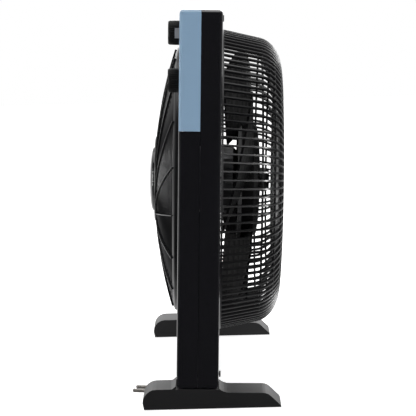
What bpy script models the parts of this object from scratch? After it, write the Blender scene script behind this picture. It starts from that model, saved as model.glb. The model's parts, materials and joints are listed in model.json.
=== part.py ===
"""Box fan: a square two-part shell on two feet, with a slowly turning round louver in front, a five-blade fan
driven from a motor behind the louver, and a bowl-shaped grille at the back.

The shell leans back a little on its feet. Its pieces are modelled in the shell's own frame: X to the side of the
controls, Y from front to back with 0 at the seam between the shells, and Z up from the shell's underside.
The feet, their pads and the cord are modelled in the world frame, with the floor at Z = 0.
"""

import math

import bmesh
import bpy
from mathutils import Matrix, Vector

# ---- driving dimensions, in metres ---------------------------------------------------------------
WIDTH = 0.400
HEIGHT = 0.400
FRONT_DEPTH = 0.0227
REAR_DEPTH = 0.0222
WALL = 0.0025
EDGE_RADIUS = 0.0040
GAP = 0.0003
LEAN = math.radians(2.067)
SHELL_LIFT = 0.0221
SEAM_Y = -0.0217
AXIS_Z = HEIGHT / 2

FRONT_FACE = -FRONT_DEPTH
REAR_FACE = REAR_DEPTH
HALF = WIDTH / 2

# control panel and dials
PANEL_HEIGHT = 0.1256
PANEL_LEFT = 0.095
PANEL_ARC = 0.1640
DIAL_X = 0.165
DIAL_RADIUS = 0.01275
DIAL_PROUD = 0.0123
DIAL_HEIGHTS = {"timer": 0.375, "speed": 0.325}
SHAFT_RADIUS = 0.003

# louver
FRONT_HOLE = 0.1460
LOUVER_RADIUS = 0.1520
LOUVER_RING = 0.0060
LOUVER_RIM_H = 0.0055
LOUVER_TOP_H = 0.0292
LOUVER_INNER = 0.0440
LOUVER_THICKNESS = 0.0042
LOUVER_SPOKES = 12
LOUVER_SLATS = 8
LOUVER_SWIRL = math.radians(-34)
DISC_RADIUS = 0.0490
CAP_RADIUS = 0.0368

# bracket and motors
BRACKET_BACK = FRONT_FACE + WALL + GAP + 0.0020
BRACKET_FRONT = FRONT_FACE + WALL + GAP
BRACKET_REACH = 0.1550
MOTOR_RADIUS = 0.0385
LOUVER_MOTOR_RADIUS = 0.0245
LOUVER_MOTOR_DEPTH = 0.0165
MOTOR_SHAFT_RADIUS = 0.0040

# blade and hub
BLADES = 5
HUB_RADIUS = 0.0655
HUB_BEAD = 0.0045
HUB_FRONT = 0.0420
HUB_BACK = 0.0685
BLADE_TIP = 0.1500
BLADE_MIDDLE = 0.0445
BLADE_DEPTH = 0.0290
NUT_RADIUS = 0.0135

# rear shell opening and grille
REAR_HOLE = 0.1600
CAGE_RADIUS = 0.1736
CAGE_TAPER = 0.215
CAGE_DEPTH = 0.0680
CAGE_SHOULDER_DEPTH = 0.0245
CAGE_SHOULDER_REACH = 0.0300
CAGE_RIBS = 40
CAGE_RIB_WIDTH = 0.0030
CAGE_THICKNESS = 0.0028
CAGE_PLATE = 0.0560

# feet
FOOT_WIDTH = 0.0430
FOOT_FRONT = -0.0590
FOOT_BACK = 0.0887
FOOT_TOP = 0.0227
FOOT_REAR_TOP = 0.0178
FOOT_SOLE = 0.0008
PAD_RADIUS = 0.0060
FOOT_X = HALF - FOOT_WIDTH / 2

# cord
CORD_DIAMETER = 0.0050
CORD_FLOOR = CORD_DIAMETER / 2 + 0.0001
GLAND_X = 0.060
GLAND_Y = 0.0120
GLAND_SLOPE = math.radians(35)


# ---- scene ---------------------------------------------------------------------------------------
for old in list(bpy.data.objects):
    bpy.data.objects.remove(old, do_unlink=True)

PARTS = bpy.data.collections.new("box_fan")
CUTTERS = bpy.data.collections.new("box_fan_cutters")
for collection in (PARTS, CUTTERS):
    bpy.context.scene.collection.children.link(collection)


def empty(name, parent, location, rotation=(0.0, 0.0, 0.0)):
    guide = bpy.data.objects.new(name, None)
    guide.parent = parent
    guide.location = location
    guide.rotation_euler = rotation
    PARTS.objects.link(guide)
    return guide


STAND = empty("stand", None, (0.0, SEAM_Y, 0.0))
SHELL = empty("shell", STAND, (0.0, 0.0, SHELL_LIFT), (-LEAN, 0.0, 0.0))
FAN_AXIS = empty("fan_axis", SHELL, (0.0, 0.0, AXIS_Z))
DIAL_AXES = {dial: empty(dial + "_axis", SHELL, (DIAL_X, 0.0, z)) for dial, z in DIAL_HEIGHTS.items()}


def finish(name, colour, roughness, metallic=0.0):
    """A Principled BSDF material with one colour."""
    material = bpy.data.materials.new(name)
    material.use_nodes = True
    shader = material.node_tree.nodes["Principled BSDF"]
    shader.inputs["Base Color"].default_value = (*colour, 1.0)
    shader.inputs["Roughness"].default_value = roughness
    shader.inputs["Metallic"].default_value = metallic
    material.diffuse_color = (*colour, 1.0)
    return material


BLACK = finish("black_plastic", (0.010, 0.010, 0.011), 0.32)
BLUE = finish("blue_plastic", (0.195, 0.310, 0.430), 0.35)
DIAL_BLACK = finish("dial_black", (0.008, 0.008, 0.009), 0.60)
GREY = finish("grey_insert", (0.420, 0.420, 0.430), 0.45)
INNER = finish("inner_plastic", (0.030, 0.030, 0.032), 0.60)
STEEL = finish("steel", (0.560, 0.570, 0.580), 0.35, 1.0)
ZINC = finish("zinc_plate", (0.500, 0.500, 0.490), 0.45, 1.0)
COPPER = finish("copper", (0.700, 0.300, 0.150), 0.40, 1.0)
RUBBER = finish("rubber", (0.020, 0.020, 0.021), 0.80)
CORD = finish("cord_jacket", (0.012, 0.012, 0.012), 0.50)
BRASS = finish("brass", (0.700, 0.530, 0.250), 0.30, 1.0)


# ---- shapes --------------------------------------------------------------------------------------
def place(name, mesh, parent, material=None):
    """Adds a mesh as a part, or as a cutter when it has no material."""
    part = bpy.data.objects.new(name, mesh)
    part.parent = parent
    if material is None:
        CUTTERS.objects.link(part)
        part.hide_render = True
        part.display_type = "WIRE"
    else:
        PARTS.objects.link(part)
        mesh.materials.append(material)
    return part


def mesh_from(build, name):
    """A mesh from a new bmesh, smooth with sharp corners."""
    mesh = bpy.data.meshes.new(name)
    build.to_mesh(mesh)
    build.free()
    mesh.shade_smooth()
    mesh.set_sharp_from_angle(angle=math.radians(35))
    return mesh


def box(name, low, high, parent, material=None, radius=0.0, rounded=None):
    """A box between two corners. Edges that rounded() picks by their two ends get the radius."""
    build = bmesh.new()
    size = [b - a for a, b in zip(low, high)]
    middle = [(a + b) / 2 for a, b in zip(low, high)]
    bmesh.ops.create_cube(build, size=1.0, matrix=Matrix.Translation(middle) @ Matrix.Diagonal((*size,
                                                                                                1.0)))
    if radius:
        edges = [e for e in build.edges if rounded is None or rounded(e.verts[0].co, e.verts[1].co)]
        bmesh.ops.bevel(build, geom=edges, offset=radius, segments=3, profile=0.5, affect="EDGES")
    return place(name, mesh_from(build, name), parent, material)


def rod(name, radius, start, end, parent, material=None, sides=24, radius_end=None, edge=0.0):
    """A cylinder or cone from one point to another, with a small edge radius where asked."""
    start, end = Vector(start), Vector(end)
    build = bmesh.new()
    turn = (end - start).to_track_quat("Z", "Y").to_matrix().to_4x4()
    last = radius if radius_end is None else radius_end
    bmesh.ops.create_cone(
        build, cap_ends=True, segments=sides, radius1=radius, radius2=last, depth=(end - start).length,
        matrix=Matrix.Translation((start + end) / 2) @ turn,
    )
    if edge:
        rims = [e for e in build.edges if e.calc_face_angle() > math.radians(60)]
        bmesh.ops.bevel(build, geom=rims, offset=edge, segments=1, profile=0.5, affect="EDGES")
    return place(name, mesh_from(build, name), parent, material)


def turned(name, profile, parent, material=None, closed=False, sides=32):
    """A shape turned about the shell's Y axis. The profile holds (radius, y) from the front, down the outside,
    to the back; its own axis is Z towards the front, so the object is laid over by a quarter turn."""
    build = bmesh.new()
    points = [build.verts.new((radius, 0.0, -y)) for radius, y in profile]
    for first, second in zip(points, points[1:]):
        build.edges.new((first, second))
    if closed:
        build.edges.new((points[-1], points[0]))
    mesh = bpy.data.meshes.new(name)
    build.to_mesh(mesh)
    build.free()
    part = place(name, mesh, parent, material)
    part.rotation_euler = (math.pi / 2, 0.0, 0.0)
    screw = part.modifiers.new("turn", "SCREW")
    screw.axis = "Z"
    screw.steps = screw.render_steps = sides
    screw.use_merge_vertices = True
    screw.merge_threshold = 0.00001
    screw.use_smooth_shade = False
    return part


def plate(name, outline, low, high, turn, parent, material=None):
    """A flat outline extruded from low to high along its third axis, then turned by turn = (x, y, z) angles."""
    curve = bpy.data.curves.new(name, "CURVE")
    curve.dimensions = "2D"
    curve.fill_mode = "BOTH"
    curve.extrude = (high - low) / 2
    spline = curve.splines.new("POLY")
    spline.points.add(len(outline) - 1)
    for point, (a, b) in zip(spline.points, outline):
        point.co = (a, b, 0.0, 1.0)
    spline.use_cyclic_u = True
    guide = bpy.data.objects.new(name + "_outline", curve)
    CUTTERS.objects.link(guide)
    bpy.context.view_layer.update()
    mesh = bpy.data.meshes.new_from_object(guide.evaluated_get(bpy.context.evaluated_depsgraph_get()))
    bpy.data.objects.remove(guide, do_unlink=True)
    mesh.name = name
    build = bmesh.new()
    build.from_mesh(mesh)
    bmesh.ops.remove_doubles(build, verts=build.verts, dist=0.000001)
    bmesh.ops.dissolve_limit(build, angle_limit=math.radians(0.5), verts=build.verts, edges=build.edges)
    bmesh.ops.translate(build, verts=build.verts, vec=(0.0, 0.0, (low + high) / 2))
    bmesh.ops.recalc_face_normals(build, faces=build.faces)
    build.to_mesh(mesh)
    build.free()
    part = place(name, mesh, parent, material)
    part.rotation_euler = turn
    return part


def boolean(part, operation, *others):
    for other in others:
        cut = part.modifiers.new(operation.lower() + "_" + other.name, "BOOLEAN")
        cut.operation = operation
        cut.solver = "EXACT"
        cut.object = other
    return part


def subtract(part, *cutters):
    return boolean(part, "DIFFERENCE", *cutters)


def add(part, *pieces):
    return boolean(part, "UNION", *pieces)


def arc(centre, radius, start, end, steps):
    """Points on an arc, in degrees from the first axis."""
    angles = [math.radians(start + (end - start) * i / steps) for i in range(steps + 1)]
    return [(centre[0] + radius * math.cos(a), centre[1] + radius * math.sin(a)) for a in angles]


# The outline's plane is X and Z of the shell for SHELL_PLANE, and Y and Z of the world for SIDE_PLANE.
SHELL_PLANE = (math.pi / 2, 0.0, 0.0)
SIDE_PLANE = (math.pi / 2, 0.0, math.pi / 2)


# ---- front shell and control panel ---------------------------------------------------------------
def on_front(a, b):
    """True for the edges of the front face and for those that run from front to back."""
    runs_back = abs(a.y - b.y) > 0.001
    in_front = max(a.y, b.y) < FRONT_FACE + 0.001
    return runs_back or in_front


def on_back(a, b):
    runs_back = abs(a.y - b.y) > 0.001
    behind = min(a.y, b.y) > REAR_FACE - 0.001
    return runs_back or behind


SEAM = GAP / 2
FRONT_CAVITY = box("front_cavity", (-HALF + WALL, FRONT_FACE + WALL, WALL),
                   (HALF - WALL, 0.004, HEIGHT - WALL), SHELL)
FRONT_BORE = rod("front_bore", FRONT_HOLE, (0, -0.03, AXIS_Z), (0, 0.01, AXIS_Z), SHELL, sides=72)


def front_blank(name, material):
    """The whole front shell with its wall all round and its round opening, before the panel is parted off."""
    blank = box(name, (-HALF, FRONT_FACE, 0.0), (HALF, -SEAM, HEIGHT), SHELL, material, EDGE_RADIUS,
                on_front)
    return subtract(blank, FRONT_CAVITY, FRONT_BORE)


def panel_outline(inset):
    """The panel's corner of the front, with a hollow arc around the louver."""
    past = 0.010
    low = HEIGHT - PANEL_HEIGHT + inset
    radius = PANEL_ARC + inset
    left = PANEL_LEFT + inset
    start = math.degrees(math.acos(left / radius))
    end = math.degrees(math.asin((low - AXIS_Z) / radius))
    corner = [(HALF + past, low), (HALF + past, HEIGHT + past), (left, HEIGHT + past)]
    return corner + arc((0.0, AXIS_Z), radius, start, end, 8)


SCREW_SPOTS = {
    "low_right": (0.186, 0.014),
    "low_left": (-0.186, 0.014),
    "top_left": (-0.186, 0.386),
    "top_right": (0.075, 0.388),
}
BRACKET_SPOTS = {
    "a": math.radians(40),
    "b": math.radians(140),
    "c": math.radians(220),
    "d": math.radians(320),
}
FOOT_SCREWS = {side + "_" + end: (s * FOOT_X, y) for side, s in (("right", 1), ("left", -1))
               for end, y in (("front", -0.0105), ("rear", 0.0105))}


def bracket_spot(angle, y):
    return (BRACKET_REACH * math.cos(angle), y, AXIS_Z + BRACKET_REACH * math.sin(angle))


front_shell = front_blank("front_shell", BLACK)
subtract(front_shell, plate("panel_bay", panel_outline(-GAP / 2), -0.01, 0.03, SHELL_PLANE, SHELL))
for spot, (x, z) in SCREW_SPOTS.items():
    post = rod("post_" + spot, 0.0045, (x, FRONT_FACE + 0.001, z), (x, REAR_FACE - WALL - GAP, z), SHELL,
               sides=12)
    add(front_shell, post)
    subtract(front_shell, rod("thread_" + spot, 0.0021, (x, -0.014, z), (x, 0.03, z), SHELL, sides=10))
for spot, angle in BRACKET_SPOTS.items():
    hole = rod("bracket_thread_" + spot, 0.0017, bracket_spot(angle, FRONT_FACE + 0.0007),
               bracket_spot(angle, -0.015), SHELL, sides=10)
    subtract(front_shell, hole)

control_panel = front_blank("control_panel", BLUE)
boolean(control_panel, "INTERSECT", plate("panel_corner", panel_outline(GAP / 2), -0.01, 0.03,
                                          SHELL_PLANE, SHELL))
for dial, z in DIAL_HEIGHTS.items():
    subtract(control_panel, rod(dial + "_hole", 0.0042, (DIAL_X, -0.03, z), (DIAL_X, -0.01, z), SHELL,
                                sides=16))


# ---- rear shell ----------------------------------------------------------------------------------
rear_shell = box("rear_shell", (-HALF, SEAM, 0.0), (HALF, REAR_FACE, HEIGHT), SHELL, BLACK, EDGE_RADIUS,
                 on_back)
subtract(rear_shell, box("rear_cavity", (-HALF + WALL, -0.004, WALL),
                         (HALF - WALL, REAR_FACE - WALL, HEIGHT - WALL),
                         SHELL))
subtract(rear_shell, rod("rear_bore", REAR_HOLE, (0, -0.01, AXIS_Z), (0, 0.03, AXIS_Z), SHELL, sides=72))
shroud_profile = [(REAR_HOLE, 0.004), (REAR_HOLE + WALL, 0.004), (REAR_HOLE + WALL, REAR_FACE - 0.001),
                  (REAR_HOLE, REAR_FACE - 0.001)]
add(rear_shell, turned("shroud", shroud_profile, FAN_AXIS, closed=True, sides=72))
for spot, (x, z) in SCREW_SPOTS.items():
    subtract(rear_shell, rod("clear_" + spot, 0.0021, (x, 0.015, z), (x, 0.03, z), SHELL, sides=10))

for spot, (x, y) in FOOT_SCREWS.items():
    shell = front_shell if y < 0 else rear_shell
    subtract(shell, rod("foot_clear_" + spot, 0.0024, (x, y, -0.004), (x, y, 0.006), SHELL, sides=12))


# ---- screws --------------------------------------------------------------------------------------
def screw(name, seat, direction, length, shank, head, head_height, parent):
    """A pan-head screw: its head stands on seat, and its shank goes the given way."""
    seat, direction = Vector(seat), Vector(direction)
    body = rod(name, head, seat - direction * head_height, seat, parent, ZINC, sides=12, edge=0.0004)
    tip = rod(name + "_shank", shank, seat - direction * head_height / 2, seat + direction * length,
              parent, sides=8)
    drive = box(name + "_slot", (-0.0006, -0.0006, -0.0024), (0.0006, 0.0006, 0.0024), parent)
    drive.location = seat - direction * head_height
    add(body, tip)
    return subtract(body, drive)


for spot, (x, z) in SCREW_SPOTS.items():
    screw("shell_screw_" + spot, (x, REAR_FACE + GAP, z), (0, -1, 0), 0.032, 0.0016, 0.0036, 0.0018,
          SHELL)
for spot, (x, y) in FOOT_SCREWS.items():
    screw("foot_screw_" + spot, (x, y, -0.0052), (0, 0, 1), 0.012, 0.0018, 0.0040, 0.0022, SHELL)
for spot, angle in BRACKET_SPOTS.items():
    screw("bracket_screw_" + spot, bracket_spot(angle, BRACKET_BACK + GAP), (0, -1, 0), 0.0041, 0.0014,
          0.0034,
          0.0018, SHELL)


# ---- rear grille ---------------------------------------------------------------------------------
def cage_radius(depth):
    """The cage's outer radius at a depth behind its mouth, along the straight taper."""
    return CAGE_RADIUS - CAGE_TAPER * depth


def shoulder(share):
    """A point of the round shoulder, from the end of the taper (0) to the flat back (1)."""
    start = CAGE_DEPTH - CAGE_SHOULDER_DEPTH
    angle = share * math.pi / 2
    depth = start + CAGE_SHOULDER_DEPTH * math.sin(angle)
    return (cage_radius(depth) - CAGE_SHOULDER_REACH * (1 - math.cos(angle)), depth)


def lattice(name, rows, bars, bar_width, solid_rows, phase, swirl, parent, material, thickness, steps=1):
    """A turned skin with windows, made solid: rows are (radius, depth) rings from the rim to the middle, a row
    between two rings of solid_rows stays whole, and bars cross the windows at even angles."""
    columns = bars * (1 + steps)
    build = bmesh.new()
    bmesh.ops.create_grid(build, x_segments=columns, y_segments=len(rows) - 1, size=1.0)
    doomed = []
    for face in build.faces:
        centre = face.calc_center_median()
        column = int((centre.x + 1) / 2 * columns)
        row = int((centre.y + 1) / 2 * (len(rows) - 1))
        if column % (1 + steps) and row not in solid_rows:
            doomed.append(face)
    pitch = 2 * math.pi / bars
    for vert in build.verts:
        column = round((vert.co.x + 1) / 2 * columns)
        radius, depth = rows[round((vert.co.y + 1) / 2 * (len(rows) - 1))]
        bar, step = divmod(column, 1 + steps)
        half = min(bar_width / 2 / max(radius, 0.001), pitch * 0.4)
        edge = -half if step == 0 else half + (step - 1) * (pitch - 2 * half) / steps
        angle = phase + bar * pitch + edge + swirl(radius)
        vert.co = (radius * math.cos(angle), -radius * math.sin(angle), -depth)
    bmesh.ops.delete(build, geom=doomed, context="FACES")
    bmesh.ops.remove_doubles(build, verts=build.verts, dist=0.00001)
    mesh = mesh_from(build, name)
    part = place(name, mesh, parent, material)
    part.rotation_euler = (math.pi / 2, 0.0, 0.0)
    skin = part.modifiers.new("skin", "SOLIDIFY")
    skin.thickness = thickness
    skin.offset = -1.0
    skin.use_even_offset = True
    return part


def straight(radius):
    return 0.0


mouth = REAR_FACE + GAP + CAGE_TAPER * CAGE_THICKNESS
cage_rows = [(CAGE_RADIUS, 0.0), (cage_radius(0.0025), 0.0025), (cage_radius(0.022), 0.022)]
cage_rows += [shoulder(0.0), shoulder(0.13), shoulder(0.4), shoulder(0.7), (shoulder(1.0)[0], CAGE_DEPTH)]
hoop_radii = [(0.1060, 0.1025), (0.0800, 0.0765)]
for outer, inner in hoop_radii:
    cage_rows += [(outer, CAGE_DEPTH), (inner, CAGE_DEPTH)]
cage_rows += [(CAGE_PLATE, CAGE_DEPTH), (0.0, CAGE_DEPTH)]
cage_rows = [(radius, mouth + depth) for radius, depth in cage_rows]
rear_grille = lattice("rear_grille", cage_rows, CAGE_RIBS, CAGE_RIB_WIDTH, {0, 3, 8, 10, 12}, 0.0,
                      straight,
                      FAN_AXIS, BLACK, CAGE_THICKNESS)


# ---- louver --------------------------------------------------------------------------------------
def louver_height(radius):
    """How far the louver's front stands in front of the shell's face: a shallow dome."""
    return LOUVER_TOP_H - (LOUVER_TOP_H - LOUVER_RIM_H) * (radius / LOUVER_RADIUS) ** 2


def louver_swirl(radius):
    share = (LOUVER_RADIUS - radius) / (LOUVER_RADIUS - LOUVER_INNER)
    return LOUVER_SWIRL * max(share, 0.0) ** 1.3


def louver_row(radius):
    return (radius, FRONT_FACE - louver_height(radius))


slat_width = 0.0030
first_slat = LOUVER_RADIUS - LOUVER_RING - GAP
rim_outer, rim_inner = louver_row(LOUVER_RADIUS), louver_row(LOUVER_RADIUS - LOUVER_RING)
turned("louver_rim", [rim_outer, (rim_outer[0], rim_outer[1] + LOUVER_THICKNESS),
                      (rim_inner[0], rim_inner[1] + LOUVER_THICKNESS), rim_inner],
       FAN_AXIS, BLACK, closed=True, sides=72)
louver_rows = [louver_row(first_slat), louver_row(first_slat - slat_width)]
pitch = (first_slat - LOUVER_INNER - 0.006) / LOUVER_SLATS
for i in range(1, LOUVER_SLATS):
    middle = first_slat - i * pitch
    louver_rows += [louver_row(middle + slat_width / 2), louver_row(middle - slat_width / 2)]
louver_rows += [louver_row(LOUVER_INNER + 0.006), louver_row(LOUVER_INNER)]
louver_grille = lattice("louver_grille", louver_rows, LOUVER_SPOKES, 0.0032,
                        set(range(0, 2 * LOUVER_SLATS + 2, 2)),
                        0.3, louver_swirl, FAN_AXIS, BLACK, -LOUVER_THICKNESS, steps=2)

disc_back = FRONT_FACE - louver_height(LOUVER_INNER) - GAP
disc_profile = [(0.0, disc_back - 0.0026), (DISC_RADIUS - 0.001, disc_back - 0.0026),
                (DISC_RADIUS, disc_back - 0.0016),
                (DISC_RADIUS, disc_back), (0.0070, disc_back), (0.0070, disc_back + 0.0090),
                (SHAFT_RADIUS + GAP, disc_back + 0.0090), (SHAFT_RADIUS + GAP, disc_back + 0.0010),
                (0.0, disc_back + 0.0010)]
louver_disc = turned("louver_disc", disc_profile, FAN_AXIS, BLACK)

cap_back = disc_back - 0.0026 - GAP
CAP_HEIGHT = 0.0056
CAP_STEPS = 6
cap_profile = [(0.0, cap_back - CAP_HEIGHT)]
for i in range(1, CAP_STEPS + 1):
    angle = i / CAP_STEPS * math.pi / 2
    cap_profile.append((CAP_RADIUS * math.sin(angle) ** 0.7,
                        cap_back - 0.0012 - (CAP_HEIGHT - 0.0012) * math.cos(angle)))
cap_profile += [(CAP_RADIUS, cap_back), (0.0, cap_back)]
louver_cap = turned("louver_cap", cap_profile, FAN_AXIS, BLACK)

LOUVER_MOTOR_FRONT = BRACKET_FRONT - GAP - LOUVER_MOTOR_DEPTH
louver_motor = rod("louver_motor", LOUVER_MOTOR_RADIUS, (0, BRACKET_FRONT - GAP, 0),
                   (0, LOUVER_MOTOR_FRONT, 0), FAN_AXIS,
                   STEEL, sides=28, edge=0.001)
louver_shaft = rod("louver_shaft", SHAFT_RADIUS, (0, LOUVER_MOTOR_FRONT - GAP, 0),
                   (0, disc_back + 0.0013, 0), FAN_AXIS,
                   STEEL, sides=16)


# ---- bracket -------------------------------------------------------------------------------------
def bracket_outline():
    """A round plate with four arms to the shell, and rounded arm ends."""
    hub, arm = 0.0420, 0.0070
    points = []
    for angle in sorted(BRACKET_SPOTS.values()):
        half = math.asin(arm / hub)
        along = Vector((math.cos(angle), math.sin(angle)))
        across = Vector((-along.y, along.x))
        points.append(Vector((hub * math.cos(angle - half), hub * math.sin(angle - half))))
        for a, b in arc((BRACKET_REACH, 0.0), arm, -90, 90, 6):
            points.append(along * a + across * b)
        points.append(Vector((hub * math.cos(angle + half), hub * math.sin(angle + half))))
        following = sorted(BRACKET_SPOTS.values())
        after = following[(following.index(angle) + 1) % 4] + (2 * math.pi if angle == following[-1] else 0.0)
        points += [Vector(p) for p in arc((0, 0), hub, math.degrees(angle + half),
                                          math.degrees(after - half), 6)[1:-1]]
    return [tuple(p) for p in points]


motor_bracket = plate("motor_bracket", bracket_outline(), -BRACKET_BACK, -BRACKET_FRONT, SHELL_PLANE,
                      FAN_AXIS, ZINC)
for spot, angle in BRACKET_SPOTS.items():
    subtract(motor_bracket, rod("bracket_hole_" + spot, 0.0018, bracket_spot(angle, -0.03),
                                bracket_spot(angle, 0.0),
                                SHELL, sides=10))


# ---- motor ---------------------------------------------------------------------------------------
BELL_FRONT = BRACKET_BACK + GAP
STATOR_FRONT = BELL_FRONT + 0.0140
STATOR_BACK = STATOR_FRONT + 0.0260
BELL_BACK = STATOR_BACK + 0.0185
BEARING_RADIUS = 0.0080
ROTOR_RADIUS = 0.0180
shaft_hole = MOTOR_SHAFT_RADIUS + GAP


def bell(name, closed_y, open_y, through):
    """A motor end bell: a cup with a seat for the bearing in its closed end, and a hole for the shaft."""
    way = 1 if open_y > closed_y else -1
    skin = 0.0020
    rim = MOTOR_RADIUS - skin
    seat = closed_y + way * (skin + 0.0060)
    hole = shaft_hole if through else 0.0
    outside = [(hole, closed_y), (MOTOR_RADIUS - 0.004, closed_y), (MOTOR_RADIUS, closed_y + way * 0.004),
               (MOTOR_RADIUS, open_y - way * GAP)]
    inside = [(rim, open_y - way * GAP), (rim, closed_y + way * 0.0045),
              (rim - 0.0035, closed_y + way * skin),
              (BEARING_RADIUS + skin, closed_y + way * skin), (BEARING_RADIUS + skin, seat),
              (BEARING_RADIUS + GAP, seat), (BEARING_RADIUS + GAP, closed_y + way * skin),
              (hole, closed_y + way * skin)]
    profile = outside + inside
    if way < 0:
        profile.reverse()
    return turned(name, profile, FAN_AXIS, STEEL, closed=through, sides=24)


front_bell = bell("motor_front_bell", BELL_FRONT, STATOR_FRONT, False)
rear_bell = bell("motor_rear_bell", BELL_BACK, STATOR_BACK, True)


def ring(name, inner, outer, front, back, material, sides=24):
    return turned(name, [(inner, front), (outer, front), (outer, back), (inner, back)], FAN_AXIS,
                  material, True, sides)


ring("stator_core", 0.0195, MOTOR_RADIUS, STATOR_FRONT, STATOR_BACK, STEEL)
ring("front_winding", 0.0215, 0.0330, STATOR_FRONT - 0.0085, STATOR_FRONT - GAP, COPPER)
ring("rear_winding", 0.0215, 0.0330, STATOR_BACK + GAP, STATOR_BACK + 0.0085, COPPER)
ring("rotor_core", shaft_hole, ROTOR_RADIUS, STATOR_FRONT + 0.0005, STATOR_BACK - 0.0005, STEEL)
ring("front_bearing", shaft_hole, BEARING_RADIUS, BELL_FRONT + 0.0024, BELL_FRONT + 0.0074, STEEL, 24)
ring("rear_bearing", shaft_hole, BEARING_RADIUS, BELL_BACK - 0.0074, BELL_BACK - 0.0024, STEEL, 24)
SHAFT_BACK = HUB_BACK + 0.0075
rod("motor_shaft", MOTOR_SHAFT_RADIUS, (0, BELL_FRONT + 0.0024, 0), (0, SHAFT_BACK, 0), FAN_AXIS, STEEL,
    sides=16)


# ---- fan blade -----------------------------------------------------------------------------------
def blade_mesh(build, index):
    """One blade as a curved sheet from inside the hub's wall to the tip, pitched more steeply at its root."""
    spans, chords = 5, 6
    rows = []
    for i in range(spans + 1):
        share = i / spans
        radius = HUB_RADIUS - 0.0012 + (BLADE_TIP - HUB_RADIUS + 0.0012) * share
        spread = math.radians(54 + 8 * share)
        depth = BLADE_DEPTH + 0.0020 * share
        middle = BLADE_MIDDLE - 0.0045 * share
        row = []
        for j in range(chords + 1):
            chord = j / chords - 0.5
            angle = index * 2 * math.pi / BLADES + chord * spread + math.radians(16) * share ** 1.4
            camber = 0.0035 * (1 - 4 * chord * chord)
            y = middle + chord * depth + camber
            row.append(build.verts.new((radius * math.cos(angle), y, radius * math.sin(angle))))
        rows.append(row)
    for lower, upper in zip(rows, rows[1:]):
        for j in range(chords):
            build.faces.new((lower[j], lower[j + 1], upper[j + 1], upper[j]))


hub_skin = 0.0026
hub_profile = [(HUB_RADIUS - hub_skin, HUB_FRONT), (HUB_RADIUS + HUB_BEAD, HUB_FRONT),
               (HUB_RADIUS + HUB_BEAD, HUB_FRONT + 0.0042), (HUB_RADIUS, HUB_FRONT + 0.0050),
               (HUB_RADIUS, HUB_BACK - 0.0085),
               (HUB_RADIUS - 0.0035, HUB_BACK - 0.0040), (HUB_RADIUS - 0.0200, HUB_BACK - 0.0015),
               (0.0180, HUB_BACK), (shaft_hole, HUB_BACK), (shaft_hole, HUB_FRONT + 0.0060),
               (0.0090, HUB_FRONT + 0.0060), (0.0090, HUB_BACK - hub_skin),
               (HUB_RADIUS - 0.0200, HUB_BACK - 0.0015 - hub_skin),
               (HUB_RADIUS - hub_skin, HUB_BACK - 0.0105)]
fan_blade = turned("fan_blade", hub_profile, FAN_AXIS, BLACK, closed=True)
vanes_build = bmesh.new()
for index in range(BLADES):
    blade_mesh(vanes_build, index)
vanes = place("vanes", mesh_from(vanes_build, "vanes"), FAN_AXIS)
vane_skin = vanes.modifiers.new("skin", "SOLIDIFY")
vane_skin.thickness = 0.0024
vane_skin.offset = 0.0
add(fan_blade, vanes)

nut_profile = [(0.0, SHAFT_BACK + GAP), (shaft_hole, SHAFT_BACK + GAP), (shaft_hole, HUB_BACK + GAP),
               (NUT_RADIUS, HUB_BACK + GAP), (NUT_RADIUS, HUB_BACK + 0.0070),
               (NUT_RADIUS - 0.0025, HUB_BACK + 0.0105),
               (0.0, HUB_BACK + 0.0110)]
turned("blade_nut", nut_profile, FAN_AXIS, INNER, sides=20)


# ---- dials, switch, timer, capacitor -------------------------------------------------------------
DIAL_BASE = FRONT_FACE - GAP
DIAL_TOP = FRONT_FACE - DIAL_PROUD
BODY_FRONT = FRONT_FACE + WALL + GAP
POINTER_HALF = 0.0053
POINTER_TOP = FRONT_FACE - 0.0052
for dial, axis in DIAL_AXES.items():
    knob = rod(dial + "_knob", DIAL_RADIUS, (0, DIAL_BASE, 0), (0, DIAL_TOP, 0), axis, DIAL_BLACK,
               sides=32, edge=0.0005)
    bore = rod(dial + "_bore", SHAFT_RADIUS + GAP, (0, -0.01, 0), (0, DIAL_TOP + 0.003, 0), axis,
               sides=16)
    way = 1 if dial == "timer" else -1
    sides_x = sorted((way * (DIAL_RADIUS - 0.0022), way * (DIAL_RADIUS + 0.002)))
    slot = box(dial + "_recess", (sides_x[0], POINTER_TOP - GAP, -POINTER_HALF - GAP),
               (sides_x[1], FRONT_FACE + 0.003, POINTER_HALF + GAP), axis)
    subtract(knob, bore, slot)
    face_x = sorted((way * (DIAL_RADIUS - 0.0022 + GAP), way * (DIAL_RADIUS + 0.0004)))
    box(dial + "_pointer", (face_x[0], POINTER_TOP, -POINTER_HALF), (face_x[1], DIAL_BASE, POINTER_HALF),
        axis, GREY)
    rod(dial + "_shaft", SHAFT_RADIUS, (0, BODY_FRONT - GAP, 0), (0, DIAL_TOP + 0.003 + GAP, 0), axis,
        STEEL, sides=16)
    box(dial + "_switch", (-0.015, BODY_FRONT, -0.015), (0.015, BODY_FRONT + 0.018, 0.015), axis, INNER,
        0.001)

box("capacitor", (-0.182, BODY_FRONT, 0.352), (-0.146, BODY_FRONT + 0.014, 0.374), SHELL, INNER, 0.001)


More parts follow.
